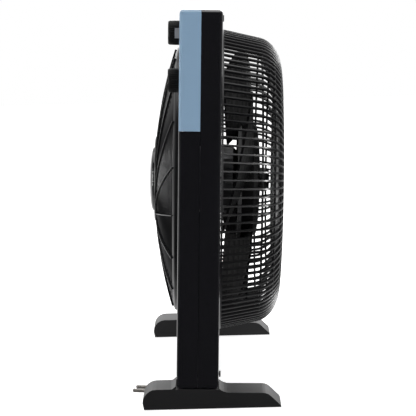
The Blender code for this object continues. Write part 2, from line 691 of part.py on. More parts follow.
# ---- feet ----------------------------------------------------------------------------------------
def foot_outline():
    """The foot from the side, as (y, z): a tall rounded toe, a saddle under the shell between two small lips,
    and a lower heel that ends in a slant."""
    lip = 0.0007
    front_wall = FRONT_FACE - GAP
    rear_wall = REAR_FACE + GAP
    under_front = SHELL_LIFT - GAP + FRONT_DEPTH * math.sin(LEAN)
    under_rear = SHELL_LIFT - GAP - REAR_DEPTH * math.sin(LEAN)
    toe_radius = 0.0145
    toe = arc((FOOT_FRONT + toe_radius, FOOT_TOP - toe_radius), toe_radius, 180, 90, 6)
    front_lip = arc((front_wall - lip - 0.0050, FOOT_TOP + 0.0035), 0.0035, 270, 315, 2)
    front_lip += [(front_wall - lip, FOOT_TOP + 0.0030), (front_wall, FOOT_TOP + 0.0030)]
    saddle = [(front_wall, under_front), (rear_wall, under_rear)]
    rear_lip = [(rear_wall, FOOT_REAR_TOP + 0.0045)]
    rear_lip += arc((rear_wall + 0.0117, FOOT_REAR_TOP + 0.0164), 0.0164, 226, 270, 4)
    heel = arc((0.0690, FOOT_REAR_TOP - 0.0130), 0.0120, 90, 45, 3)
    tip = [(FOOT_BACK - 0.0008, 0.0030), (FOOT_BACK, FOOT_SOLE)]
    return [(FOOT_FRONT + 0.0015, FOOT_SOLE)] + toe + front_lip + saddle + rear_lip + heel + tip


POCKETS = {"toe": (-0.041, -0.026, 0.0195), "middle": (-0.021, 0.021, 0.0175),
           "heel": (0.027, 0.062, 0.0142)}
PAD_SPOTS = {"front": -0.0500, "rear": 0.0715}


def foot(name, x):
    half = FOOT_WIDTH / 2
    body = plate(name, foot_outline(), x - half, x + half, SIDE_PLANE, STAND, BLACK)
    soften = body.modifiers.new("soft_edges", "BEVEL")
    soften.width = 0.0016
    soften.segments = 1
    soften.limit_method = "ANGLE"
    soften.angle_limit = math.radians(60)
    soften.use_clamp_overlap = True
    for pocket, (front, back, top) in POCKETS.items():
        subtract(body, box(name + "_pocket_" + pocket, (x - half + WALL, front, -0.01),
                           (x + half - WALL, back, top), STAND))
    for spot, y in PAD_SPOTS.items():
        subtract(body, rod(name + "_pad_seat_" + spot, PAD_RADIUS + GAP, (x, y, -0.01), (x, y, 0.0022),
                           STAND, sides=20))
        rod(name + "_pad_" + spot, PAD_RADIUS, (x, y, 0.0), (x, y, 0.0019), STAND, RUBBER, sides=20)
    return body


for side, x in (("right", FOOT_X), ("left", -FOOT_X)):
    body = foot("foot_" + side, x)
    for spot, (screw_x, screw_y) in FOOT_SCREWS.items():
        if spot.startswith(side):
            subtract(body, rod("foot_hole_" + spot, 0.0024, (screw_x, screw_y, -0.02),
                               (screw_x, screw_y, 0.003), SHELL,
                               sides=12))


# ---- cord ----------------------------------------------------------------------------------------
def smooth_route(points, spacing):
    """A smooth curve through the points, read off about every spacing along it."""
    knots = [Vector(p) for p in points]
    knots = [2 * knots[0] - knots[1]] + knots + [2 * knots[-1] - knots[-2]]
    fine = []
    for a, b, c, d in zip(knots, knots[1:], knots[2:], knots[3:]):
        for i in range(16):
            t = i / 16
            fine.append(0.5 * (2 * b + (c - a) * t + (2 * a - 5 * b + 4 * c - d) * t * t
                               + (3 * b - a - 3 * c + d) * t * t * t))
    fine.append(knots[-2])
    total = sum((q - p).length for p, q in zip(fine, fine[1:]))
    count = max(2, round(total / spacing))
    route, walked, target = [fine[0]], 0.0, total / count
    for p, q in zip(fine, fine[1:]):
        step = (q - p).length
        while walked + step >= target * len(route) - 1e-9 and len(route) < count:
            route.append(p + (q - p) * ((target * len(route) - walked) / step))
        walked += step
    return route + [fine[-1]]


def tube(name, points, diameter, material):
    curve = bpy.data.curves.new(name, "CURVE")
    curve.dimensions = "3D"
    curve.bevel_depth = diameter / 2
    curve.bevel_resolution = 2
    curve.use_fill_caps = True
    spline = curve.splines.new("POLY")
    spline.points.add(len(points) - 1)
    for point, place_at in zip(spline.points, points):
        point.co = (*place_at, 1.0)
    part = bpy.data.objects.new(name, curve)
    curve.materials.append(material)
    part.parent = STAND
    PARTS.objects.link(part)
    return part


gland_way = Vector((-math.cos(GLAND_SLOPE), 0.0, -math.sin(GLAND_SLOPE)))
gland_base = Vector((GLAND_X, GLAND_Y, SHELL_LIFT - 0.0055))
gland_tip = gland_base + gland_way * 0.0200
cord_gland = rod("cord_gland", 0.0048, gland_base, gland_tip, STAND, RUBBER, 20, 0.0034)
add(cord_gland, rod("gland_plug", 0.0052, (GLAND_X, GLAND_Y, SHELL_LIFT - 0.0090),
                    (GLAND_X, GLAND_Y, SHELL_LIFT + 0.0060),
                    STAND, sides=20))
subtract(rear_shell, rod("gland_hole", 0.0056, (GLAND_X, GLAND_Y, SHELL_LIFT - 0.01),
                         (GLAND_X, GLAND_Y, SHELL_LIFT + 0.012),
                         STAND, sides=20))

HANK_MIDDLE = (-0.0780, -0.0016)
HANK_RUN = 0.1000
HANK_OUTER = 0.0228
HANK_BASE = 0.0010
HANK_TOP = 0.0165
exit_point = gland_tip + gland_way * 0.0010
cord_points = [
    exit_point,
    exit_point + gland_way * 0.0035,
    Vector((0.0300, 0.0122, CORD_FLOOR)),
    Vector((0.0170, 0.0138, CORD_FLOOR)),
    Vector((0.0020, 0.0168, CORD_FLOOR + 0.0004)),
    Vector((-0.0125, 0.0184, CORD_FLOOR + 0.0010)),
]
tube("power_cord", smooth_route(cord_points, 0.0060), CORD_DIAMETER, CORD)

hank_left, hank_right = HANK_MIDDLE[0] - HANK_RUN / 2, HANK_MIDDLE[0] + HANK_RUN / 2
hank_outline = arc((hank_right, HANK_MIDDLE[1]), HANK_OUTER, -90, 90, 10)
hank_outline += arc((hank_left, HANK_MIDDLE[1]), HANK_OUTER, 90, 270, 10)
plate("cord_hank", hank_outline, HANK_BASE, HANK_TOP, (0.0, 0.0, 0.0), STAND, CORD)

tie_half, tie_reach = 0.0045, HANK_OUTER + GAP
tie_x = HANK_MIDDLE[0]
cord_tie = box("cord_tie", (tie_x - tie_half, HANK_MIDDLE[1] - tie_reach - 0.0007, 0.0),
               (tie_x + tie_half, HANK_MIDDLE[1] + tie_reach + 0.0007, HANK_TOP + GAP + 0.0007), STAND,
               RUBBER)
subtract(cord_tie, box("tie_inside", (tie_x - 0.02, HANK_MIDDLE[1] - tie_reach, HANK_BASE - GAP),
                       (tie_x + 0.02, HANK_MIDDLE[1] + tie_reach, HANK_TOP + GAP), STAND))

PLUG_SPOT = (0.1335, -0.0265, 0.0058)
PLUG_TURN = math.radians(11)
PLUG_LENGTH = 0.0240
PLUG_HALF_WIDTH = 0.0125
PLUG_HALF_HEIGHT = 0.0055
RELIEF_LENGTH = 0.0130
PIN_SPREAD = 0.0080
PIN_RADIUS = 0.0020
PIN_LENGTH = 0.0210
PLUG = empty("plug_axis", STAND, PLUG_SPOT, (0.0, 0.0, -PLUG_TURN))

turn_radius = 0.0205
relief_end = Vector(PLUG_SPOT) + Vector((math.sin(PLUG_TURN), math.cos(PLUG_TURN),
                                         0.0)) * (RELIEF_LENGTH + 0.0010)
turn_middle = relief_end - Vector((math.cos(PLUG_TURN), -math.sin(PLUG_TURN), 0.0)) * turn_radius
lead_points = [
    Vector((-0.0080, -0.0165, 0.0122)),
    Vector((0.0060, -0.0160, 0.0082)),
    Vector((0.0200, -0.0148, 0.0042)),
    Vector((0.0340, -0.0125, CORD_FLOOR)),
    Vector((0.0550, -0.0070, CORD_FLOOR)),
    Vector((0.0780, 0.0020, CORD_FLOOR)),
    Vector((0.0980, 0.0090, CORD_FLOOR)),
]
for (x, y), z in zip(arc((turn_middle.x, turn_middle.y), turn_radius, 90, -math.degrees(PLUG_TURN), 5),
                     (0.0, 0.0, 0.0002, 0.0010, 0.0023, 0.0032)):
    lead_points.append(Vector((x, y, CORD_FLOOR + z)))
tube("plug_lead", smooth_route(lead_points, 0.0060), CORD_DIAMETER, CORD)
plug_body = box("plug_body", (-PLUG_HALF_WIDTH, -PLUG_LENGTH, -PLUG_HALF_HEIGHT),
                (PLUG_HALF_WIDTH, 0.0, PLUG_HALF_HEIGHT), PLUG, RUBBER, 0.0025)
add(plug_body, rod("plug_relief", 0.0033, (0, RELIEF_LENGTH, 0), (0, -0.004, 0), PLUG, sides=16,
                   radius_end=0.0052))
for number, x in (("1", -PIN_SPREAD), ("2", PIN_SPREAD)):
    root = -PLUG_LENGTH + 0.0080
    subtract(plug_body, rod("pin_hole_" + number, PIN_RADIUS + GAP, (x, root, 0), (x, -0.03, 0), PLUG,
                            sides=14))
    rod("plug_pin_" + number, PIN_RADIUS, (x, root - GAP, 0), (x, -PLUG_LENGTH - PIN_LENGTH, 0), PLUG,
        BRASS, sides=14,
        edge=0.0008)
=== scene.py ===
# %% [markdown]
# # A box fan, seen from its side
# This notebook dresses a box fan. The solid model of the fan, with its joints, was made before and is
# loaded here as a fixed frame. What is missing is everything that the eye reads as "a real fan": the fine
# ribs of the rear grille, the thin rings of the louver, the knurls of the dials, the cord, and plastics
# with grain and dust. Every length is in metres. The shell leans back a little, so most pieces are made
# in the fan's own frame, whose origin is on the fan's axis, and are turned into place at the end.

import json
import math

import bmesh
import bpy
from mathutils import Matrix, Vector


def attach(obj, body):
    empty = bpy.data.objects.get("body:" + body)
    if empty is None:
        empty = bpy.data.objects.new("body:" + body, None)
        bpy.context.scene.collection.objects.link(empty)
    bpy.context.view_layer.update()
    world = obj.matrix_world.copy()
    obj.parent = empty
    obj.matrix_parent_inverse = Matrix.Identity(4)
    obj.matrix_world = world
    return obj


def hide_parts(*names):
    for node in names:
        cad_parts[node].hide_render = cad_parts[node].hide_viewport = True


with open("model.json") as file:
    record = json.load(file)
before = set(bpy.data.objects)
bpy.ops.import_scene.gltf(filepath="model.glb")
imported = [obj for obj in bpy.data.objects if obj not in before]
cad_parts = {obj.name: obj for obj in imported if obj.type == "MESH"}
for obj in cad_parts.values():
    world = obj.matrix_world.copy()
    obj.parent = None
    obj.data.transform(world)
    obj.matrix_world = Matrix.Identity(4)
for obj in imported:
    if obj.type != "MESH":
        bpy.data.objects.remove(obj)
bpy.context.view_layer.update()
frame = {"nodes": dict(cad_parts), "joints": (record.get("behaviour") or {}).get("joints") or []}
nodes = frame["nodes"]
joints = {joint["name"]: joint for joint in frame["joints"]}

# %% [markdown]
# ## The fan's own frame
# The fan's joint says where its axis is and how far it leans. From these two facts comes one matrix that
# takes a point from the fan's frame (X across, Y from front to back, Z up, origin on the axis at the seam
# of the two shells) to the world. Its inverse reads the solid model's sizes in the same frame.

# %% Find the fan's frame
axis = Vector(joints["fan_spin"]["axis"])
lean = math.asin(-axis.z)
FAN = Matrix.Translation(joints["fan_spin"]["pos_m"]) @ Matrix.Rotation(-lean, 4, "X")


def span(node):
    """Lowest and highest corner of a solid in the fan's frame."""
    points = [FAN.inverted() @ v.co for v in nodes[node].data.vertices]
    return (Vector([min(p[i] for p in points) for i in range(3)]),
            Vector([max(p[i] for p in points) for i in range(3)]))


shell_low, shell_high = span("front_shell")
FRONT_FACE, REAR_FACE, HALF = shell_low.y, span("rear_shell")[1].y, shell_high.x
print(f"lean {math.degrees(lean):.2f} deg, shell {2 * HALF * 1000:.0f} mm wide, "
      f"{(REAR_FACE - FRONT_FACE) * 1000:.1f} mm deep")

# %% [markdown]
# ## Camera
# The fan is seen square from the side of its controls, from a little above, with a long lens so that the
# near and the far side keep nearly the same size. The camera is made first, so that every later choice
# can be judged from the place where it matters. It is held by three directions: where it looks, what is
# right, and what is up.

# %% Camera
CAMERA_PLACE = Vector((1.9316, 0.0031, 0.4623))
CAMERA_YAW = math.radians(0.296)
CAMERA_PITCH = math.radians(8.089)
CAMERA_ROLL = math.radians(-1.455)
LENS = 144.93

ahead = Vector((-math.cos(CAMERA_YAW), -math.sin(CAMERA_YAW), 0.0))
across = Vector((-math.sin(CAMERA_YAW), math.cos(CAMERA_YAW), 0.0))
look = ahead * math.cos(CAMERA_PITCH) - Vector((0, 0, 1)) * math.sin(CAMERA_PITCH)
rise = Vector((0, 0, 1)) * math.cos(CAMERA_PITCH) + ahead * math.sin(CAMERA_PITCH)
right = across * math.cos(CAMERA_ROLL) + rise * math.sin(CAMERA_ROLL)
top = rise * math.cos(CAMERA_ROLL) - across * math.sin(CAMERA_ROLL)

lens = bpy.data.cameras.new("camera")
lens.lens = LENS
lens.sensor_width = 36.0
lens.clip_start, lens.clip_end = 0.05, 50.0
camera = bpy.data.objects.new("camera", lens)
camera.matrix_world = Matrix((
    (right.x, top.x, -look.x, CAMERA_PLACE.x),
    (right.y, top.y, -look.y, CAMERA_PLACE.y),
    (right.z, top.z, -look.z, CAMERA_PLACE.z),
    (0, 0, 0, 1),
))
bpy.context.scene.collection.objects.link(camera)
bpy.context.scene.camera = camera
print("camera at", [round(c, 3) for c in camera.matrix_world.translation])

# %% [markdown]
# ## Node groups that several plastics share
# Moulded plastic has three things that a flat colour lacks: a fine grain from the mould, a slow change of
# gloss from handling, and dust that settles on whatever faces up. Each is one small node group with its
# own inputs, built once and placed in every material that needs it. A group gives out values only. The
# Principled BSDF stays in the material.

# %% Helpers for node groups and materials
def new_group(name, inputs, outputs):
    """A shader node group whose inputs are (name, default) and outputs are (name, kind)."""
    group = bpy.data.node_groups.new(name, "ShaderNodeTree")
    for label, default in inputs:
        kind = "NodeSocketColor" if isinstance(default, tuple) else "NodeSocketFloat"
        group.interface.new_socket(name=label, in_out="INPUT", socket_type=kind).default_value = default
    for label, kind in outputs:
        group.interface.new_socket(name=label, in_out="OUTPUT", socket_type=kind)
    return group, group.nodes.new("NodeGroupInput"), group.nodes.new("NodeGroupOutput")


def put(tree, kind, settings=None, **values):
    """A node with its properties from settings, and its inputs set or linked by name."""
    node = tree.nodes.new(kind)
    for key, value in (settings or {}).items():
        setattr(node, key, value)
    for key, value in values.items():
        socket = node.inputs[int(key[1:])] if key[1:].isdigit() else node.inputs[key.replace("_", " ")]
        if isinstance(value, bpy.types.NodeSocket):
            tree.links.new(value, socket)
        else:
            socket.default_value = value
    return node


def maths(tree, operation, first, second=0.0, clamp=False):
    """The output of one math node."""
    return put(tree, "ShaderNodeMath", {"operation": operation, "use_clamp": clamp}, _0=first,
               _1=second).outputs[0]


print("helpers ready")

# %% Group: mould grain
grain_group, g_in, g_out = new_group(
    "mould_grain", [("Scale", 1400.0), ("Depth", 1.0), ("Flow", 0.25)], [("Height", "NodeSocketFloat")])
place = put(grain_group, "ShaderNodeTexCoord").outputs["Object"]
pits = put(grain_group, "ShaderNodeTexNoise", Vector=place, Scale=g_in.outputs["Scale"], Detail=3.0,
           Roughness=0.6)
slow = put(grain_group, "ShaderNodeTexNoise", Vector=place, Scale=22.0, Detail=2.0)
waves = maths(grain_group, "MULTIPLY", slow.outputs["Fac"], g_in.outputs["Flow"])
fine = maths(grain_group, "MULTIPLY", pits.outputs["Fac"], g_in.outputs["Depth"])
grain_group.links.new(maths(grain_group, "ADD", waves, fine), g_out.inputs["Height"])
print("group:", grain_group.name)

# %% Group: handling
handling_group, h_in, h_out = new_group(
    "handling", [("Gloss", 0.3), ("Change", 0.08), ("Scale", 14.0)], [("Roughness", "NodeSocketFloat")])
place = put(handling_group, "ShaderNodeTexCoord").outputs["Object"]
blot = put(handling_group, "ShaderNodeTexNoise", Vector=place, Scale=h_in.outputs["Scale"], Detail=4.0,
           Roughness=0.65)
centred = maths(handling_group, "SUBTRACT", blot.outputs["Fac"], 0.5)
swing = maths(handling_group, "MULTIPLY", centred, h_in.outputs["Change"])
swing = maths(handling_group, "MULTIPLY", swing, 4.0)
handling_group.links.new(maths(handling_group, "ADD", swing, h_in.outputs["Gloss"], True),
                         h_out.inputs["Roughness"])
print("group:", handling_group.name)

# %% Group: settled dust
dust_group, d_in, d_out = new_group(
    "settled_dust",
    [("Colour", (0.02, 0.02, 0.02, 1.0)), ("Dust", (0.32, 0.31, 0.29, 1.0)), ("Amount", 0.1),
     ("Patch", 60.0)],
    [("Colour", "NodeSocketColor"), ("Mask", "NodeSocketFloat")])
place = put(dust_group, "ShaderNodeTexCoord").outputs["Object"]
facing = put(dust_group, "ShaderNodeNewGeometry").outputs["Normal"]
up = put(dust_group, "ShaderNodeSeparateXYZ", Vector=facing).outputs["Z"]
up = maths(dust_group, "SUBTRACT", up, 0.35, True)
specks = put(dust_group, "ShaderNodeTexNoise", Vector=place, Scale=d_in.outputs["Patch"], Detail=6.0,
             Roughness=0.75)
lie = maths(dust_group, "MULTIPLY", up, specks.outputs["Fac"])
mask = maths(dust_group, "MULTIPLY", lie, d_in.outputs["Amount"], True)
coated = put(dust_group, "ShaderNodeMix", {"data_type": "RGBA"}, _0=mask, _6=d_in.outputs["Colour"],
             _7=d_in.outputs["Dust"])
dust_group.links.new(coated.outputs[2], d_out.inputs["Colour"])
dust_group.links.new(mask, d_out.inputs["Mask"])
print("group:", dust_group.name)


# %% [markdown]
# ## The plastics
# The shell is a glossy black, its panel a satin grey-blue, the dials a matt black. They differ only in
# colour, gloss and grain, so one function makes them all from the shared groups. Specular and coat are
# set on the shader's own sockets, because they are the same all over a surface.

# %% Plastics
def plastic(name, colour, gloss, change=0.05, grain=0.35, grain_scale=1400.0, flow=0.3, dust=0.1,
            coat=0.0, bump=0.04,
            specular=0.5):
    """A moulded plastic with grain, handling and settled dust."""
    material = bpy.data.materials.new(name)
    material.use_nodes = True
    tree = material.node_tree
    shader = tree.nodes["Principled BSDF"]
    shader.inputs["IOR"].default_value = 1.5
    shader.inputs["Specular IOR Level"].default_value = specular
    shader.inputs["Coat Weight"].default_value = coat
    shader.inputs["Coat Roughness"].default_value = 0.05
    soil = put(tree, "ShaderNodeGroup", {"node_tree": dust_group}, Colour=(*colour, 1.0), Amount=dust)
    wear = put(tree, "ShaderNodeGroup", {"node_tree": handling_group}, Gloss=gloss, Change=change)
    skin = put(tree, "ShaderNodeGroup", {"node_tree": grain_group}, Scale=grain_scale, Depth=grain,
               Flow=flow)
    relief = put(tree, "ShaderNodeBump", Strength=bump, Distance=0.0004, Height=skin.outputs["Height"])
    dull = maths(tree, "MULTIPLY", soil.outputs["Mask"], 0.6)
    rough = maths(tree, "ADD", wear.outputs["Roughness"], dull, True)
    tree.links.new(soil.outputs["Colour"], shader.inputs["Base Color"])
    tree.links.new(rough, shader.inputs["Roughness"])
    tree.links.new(relief.outputs["Normal"], shader.inputs["Normal"])
    material.diffuse_color = (*colour, 1.0)
    return material


SHELL_BLACK = plastic("shell_black", (0.0070, 0.0070, 0.0085), 0.09, change=0.01, grain=0.1, flow=0.1,
                      dust=0.03, coat=0.25,
                      bump=0.004)
GRILLE_BLACK = plastic("grille_black", (0.005, 0.005, 0.006), 0.32, grain=0.2, dust=0.0, bump=0.01,
                       specular=0.3)
BLADE_BLACK = plastic("blade_black", (0.0035, 0.0035, 0.004), 0.45, dust=0.0, bump=0.01, specular=0.06)
FOOT_BLACK = plastic("foot_black", (0.008, 0.008, 0.009), 0.40, change=0.03, grain=0.2, dust=0.0,
                     bump=0.006, specular=0.22)
PANEL_BLUE = plastic("panel_blue", (0.225, 0.345, 0.480), 0.24, change=0.02, grain=0.2, dust=0.0,
                     coat=0.2, bump=0.006)
DIAL_BLACK = plastic("dial_black", (0.004, 0.004, 0.004), 0.42, change=0.03, grain=0.3, dust=0.0,
                     bump=0.01, specular=0.12)
POINTER_GREY = plastic("pointer_grey", (0.22, 0.22, 0.23), 0.45, dust=0.0)
INNER_GREY = plastic("inner_grey", (0.030, 0.030, 0.032), 0.55, grain=0.8, bump=0.10)
RUBBER = plastic("soft_rubber", (0.014, 0.014, 0.014), 0.75, grain=1.0, grain_scale=900.0, bump=0.15)
JACKET = plastic("cord_jacket", (0.010, 0.010, 0.010), 0.42, grain=0.5, bump=0.06)
print("plastics:", len(bpy.data.materials))

# %% [markdown]
# ## The metals
# The bracket and the screws are zinc plate, which is a pale metal with cloudy patches. The motor's bells
# are drawn steel with fine lines round their axis. The coils are copper wire, which reads as fine
# parallel ridges.

# %% Metals
def metal(name, colour, gloss, change=0.2, lines=0.0, line_scale=900.0, bump=0.1):
    """A metal with cloudy gloss and, where asked, fine lines round the fan's axis."""
    material = bpy.data.materials.new(name)
    material.use_nodes = True
    tree = material.node_tree
    shader = tree.nodes["Principled BSDF"]
    shader.inputs["Metallic"].default_value = 1.0
    wear = put(tree, "ShaderNodeGroup", {"node_tree": handling_group}, Gloss=gloss, Change=change,
               Scale=60.0)
    soil = put(tree, "ShaderNodeGroup", {"node_tree": dust_group}, Colour=(*colour, 1.0), Amount=0.15)
    where = put(tree, "ShaderNodeTexCoord").outputs["Object"]
    stripes = put(tree, "ShaderNodeTexNoise", Vector=put(
        tree, "ShaderNodeMapping", {"vector_type": "POINT"}, Vector=where,
                                                         Scale=(0.05, 1.0, 0.05)).outputs[0],
        Scale=line_scale, Detail=2.0)
    height = maths(tree, "MULTIPLY", stripes.outputs["Fac"], lines)
    relief = put(tree, "ShaderNodeBump", Strength=bump, Distance=0.0003, Height=height)
    tree.links.new(soil.outputs["Colour"], shader.inputs["Base Color"])
    tree.links.new(wear.outputs["Roughness"], shader.inputs["Roughness"])
    tree.links.new(relief.outputs["Normal"], shader.inputs["Normal"])
    material.diffuse_color = (*colour, 1.0)
    return material


ZINC = metal("zinc_plate", (0.50, 0.50, 0.48), 0.38, 0.3)
DRAWN_STEEL = metal("drawn_steel", (0.06, 0.06, 0.063), 0.42, 0.2, lines=1.0)
BRIGHT_STEEL = metal("bright_steel", (0.60, 0.60, 0.61), 0.22, 0.1, lines=0.5)
COPPER = metal("copper_wire", (0.62, 0.27, 0.12), 0.36, 0.2, lines=1.0, line_scale=1800.0, bump=0.5)
DARK_NICKEL = metal("dark_nickel", (0.16, 0.15, 0.14), 0.30, 0.1)
print("materials:", len(bpy.data.materials))


# %% [markdown]
# ## Dressing the solids that keep their shape
# The two shells, the panel, the feet, the bracket and the motor have the right shape already. They arrive
# as flat triangles, so their edges are told to shade smoothly except where the surface really turns, and
# each gets its finish.

# %% Dress the solids
def steady_normals(mesh, angle):
    """Lets the larger faces at a corner lead its shading, so that walls stay flat up to their fillets."""
    limit = math.cos(math.radians(angle))
    around = [[] for _ in mesh.vertices]
    for face in mesh.polygons:
        for corner in face.vertices:
            around[corner].append(face)
    normals = []
    for face in mesh.polygons:
        for corner in face.vertices:
            total = Vector()
            for other in around[corner]:
                if other.normal.dot(face.normal) > limit:
                    total += other.normal * other.area
            normals.append(total.normalized() if total.length > 0 else face.normal.copy())
    mesh.normals_split_custom_set(normals)


def dress(names, material, angle=48.0):
    """Gives solids their finish and smooth shading."""
    for name in names:
        mesh = nodes[name].data
        mesh.materials.clear()
        mesh.materials.append(material)
        mesh.shade_smooth()
        steady_normals(mesh, angle)


def starting(*words):
    """The nodes whose names start with one of the words."""
    return [name for name in nodes if name.startswith(words)]


dress(["front_shell", "rear_shell"], SHELL_BLACK)
dress(["control_panel"], PANEL_BLUE)
dress(["foot_right", "foot_left"], FOOT_BLACK)
dress(["fan_blade"], BLADE_BLACK)
dress(["louver_grille", "louver_rim", "louver_disc", "louver_cap", "rear_grille"], GRILLE_BLACK)
dress(starting("timer_knob", "speed_knob"), DIAL_BLACK)
dress(starting("timer_pointer", "speed_pointer"), POINTER_GREY)
dress(starting("timer_switch", "speed_switch", "capacitor", "blade_nut"), INNER_GREY)
dress(starting("shell_screw"), RUBBER)
dress(starting("foot_screw", "bracket_screw", "motor_bracket"), ZINC)
dress(["motor_front_bell", "motor_rear_bell", "stator_core", "rotor_core", "louver_motor"], DRAWN_STEEL)
dress(["front_bearing", "rear_bearing", "motor_shaft", "louver_shaft", "timer_shaft", "speed_shaft"],
      BRIGHT_STEEL)
dress(["front_winding", "rear_winding"], COPPER)
dress(starting("foot_right_pad", "foot_left_pad", "cord_gland", "cord_tie", "plug_body"), RUBBER)
dress(["power_cord", "plug_lead", "cord_hank"], JACKET)
dress(starting("plug_pin"), DARK_NICKEL)
print("dressed", len(nodes), "solids")


# %% [markdown]
# ## Ways to make a mesh
# Nearly every piece here is a section carried along a path: a rib along the grille's side, a ring round
# the axis, a spoke along the louver's dome. One loft does them all. It joins a row of sections by quads,
# and closes the ends with caps or joins the last section to the first.

# %% Loft helpers
def loft(build, sections, ring=False):
    """Joins equal sections of points into a closed skin."""
    rows = [[build.verts.new(point) for point in section] for section in sections]
    pairs = list(zip(rows, rows[1:] + ([rows[0]] if ring else [])))
    for lower, upper in pairs if ring else list(zip(rows, rows[1:])):
        for i in range(len(lower)):
            j = (i + 1) % len(lower)
            build.faces.new((lower[i], lower[j], upper[j], upper[i]))
    if not ring:
        build.faces.new(list(reversed(rows[0])))
        build.faces.new(rows[-1])


def settle(name, build, material, body, replaced=(), angle=35.0, matrix=FAN):
    """Makes the piece from its mesh, turns it into the world, and lets it ride on its body."""
    bmesh.ops.recalc_face_normals(build, faces=build.faces)
    mesh = bpy.data.meshes.new(name)
    build.to_mesh(mesh)
    build.free()
    mesh.transform(matrix)
    mesh.materials.append(material)
    mesh.shade_smooth()
    mesh.set_sharp_from_angle(angle=math.radians(angle))
    piece = bpy.data.objects.new(name, mesh)
    bpy.context.scene.collection.objects.link(piece)
    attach(piece, body)
    if replaced:
        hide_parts(*replaced)
    print(f"{name}: {len(mesh.polygons)} faces")
    return piece


def radial(angle):
    """Unit vectors outward and along a turn at an angle round the fan's axis."""
    c, s = math.cos(angle), math.sin(angle)
    return Vector((c, 0.0, s)), Vector((-s, 0.0, c))


def turn(build, outline, sides=128):
    """Turns a closed outline of (radius, y) points round the fan's axis."""
    sections = []
    for k in range(sides):
        out, _ = radial(2 * math.pi * k / sides)
        sections.append([out * r + Vector((0, y, 0)) for r, y in outline])
    loft(build, sections, ring=True)


def turned_cap(build, outline, sides=96):
    """Turns an outline whose two ends lie on the axis."""
    rows = []
    for r, y in outline:
        if r < 1e-6:
            rows.append([build.verts.new((0, y, 0))])
        else:
            rows.append([build.verts.new(radial(2 * math.pi * k / sides)[0] * r + Vector((0, y, 0)))
                         for k in range(sides)])
    for lower, upper in zip(rows, rows[1:]):
        for k in range(sides):
            j = (k + 1) % sides
            if len(lower) == 1:
                build.faces.new((lower[0], upper[j], upper[k]))
            elif len(upper) == 1:
                build.faces.new((lower[k], lower[j], upper[0]))
            else:
                build.faces.new((lower[k], lower[j], upper[j], upper[k]))


print("loft ready")

# %% [markdown]
# ## Rear grille
# The grille is one moulded bowl of thin ribs. They leave the shell straight back with a slight taper,
# bend over a round shoulder and run inward over a flat back. Rings on the inside tie them together. The
# solid model has fewer and thicker ribs, for its collision. Here are all 115. Near the middle they would
# grow together, so a ring takes them over and fewer go on to the centre plate.

# %% Rear grille: the outline
grille_low, grille_high = span("rear_grille")
MOUTH = grille_low.y
CAGE_RADIUS = grille_high.x
CAGE_DEPTH = grille_high.y - MOUTH
CAGE_TAPER = 0.215
SHOULDER = 0.0245
SHOULDER_REACH = 0.030
RIBS = 115
RIB_WIDTH = 0.0024
RIB_DEPTH = 0.0030
BACK_RING = 0.1040
INNER_RIBS = 69
PLATE_RADIUS = 0.0560


def cage_outline(to_radius):
    """(radius, y) points of the grille's outer side, from the mouth to a radius on its flat back."""
    straight = (0.0, 0.012, 0.024, 0.034, CAGE_DEPTH - SHOULDER)
    points = [(CAGE_RADIUS - CAGE_TAPER * d, MOUTH + d) for d in straight]
    for i in range(1, 11):
        angle = i / 10 * math.pi / 2
        depth = CAGE_DEPTH - SHOULDER + SHOULDER * math.sin(angle)
        points.append((CAGE_RADIUS - CAGE_TAPER * depth - SHOULDER_REACH * (1 - math.cos(angle)),
                       MOUTH + depth))
    points += [(points[-1][0] - 0.010, points[-1][1]), (to_radius, points[-1][1])]
    return points


def bar(build, points, angle_of, width, depth):
    """A rib with a rounded back along (radius, y) points, at angle_of(radius) round the axis."""
    sections = []
    for i, (r, y) in enumerate(points):
        before, after = points[max(i - 1, 0)], points[min(i + 1, len(points) - 1)]
        along = Vector((after[0] - before[0], after[1] - before[1])).normalized()
        out, side = radial(angle_of(r))
        normal = (out * along.y + Vector((0, -along.x, 0)))
        centre = out * r + Vector((0, y, 0))
        profile = [(-0.42, -1.0), (0.42, -1.0), (0.5, -0.35), (0.3, 0.0), (-0.3, 0.0), (-0.5, -0.35)]
        sections.append([centre + side * (a * width) + normal * (b * depth) for a, b in profile])
    loft(build, sections)


outline = cage_outline(BACK_RING)
print(f"grille: radius {CAGE_RADIUS * 1000:.1f} mm, depth {CAGE_DEPTH * 1000:.1f} mm")

# %% Rear grille: ribs, rings and plate
RIB_PHASE = 0.117
build = bmesh.new()
for k in range(RIBS):
    angle = RIB_PHASE + 2 * math.pi * k / RIBS
    bar(build, outline, lambda r, a=angle: a, RIB_WIDTH, RIB_DEPTH)
back = MOUTH + CAGE_DEPTH
for k in range(INNER_RIBS):
    angle = RIB_PHASE + 2 * math.pi * k / INNER_RIBS
    bar(build, [(BACK_RING + 0.001, back - 0.0003), (0.08, back - 0.0003),
                (PLATE_RADIUS - 0.001, back - 0.0003)],
        lambda r, a=angle: a, RIB_WIDTH, RIB_DEPTH)


def hoop(build, r, y, width, depth):
    """A ring of rounded section, width along the axis and depth inward."""
    turn(build, [(r, y - width * 0.3), (r, y + width * 0.3), (r - depth * 0.25, y + width / 2),
                 (r - depth, y + width / 2), (r - depth, y - width / 2),
                 (r - depth * 0.25, y - width / 2)], 160)


def flat_hoop(build, r, width):
    """A ring that lies in the grille's flat back."""
    turn(build, [(r + width / 2, back - 0.0006), (r + width * 0.3, back + 0.0),
                 (r - width * 0.3, back + 0.0),
                 (r - width / 2, back - 0.0006), (r - width / 2, back - 0.0034),
                 (r + width / 2, back - 0.0034)], 144)


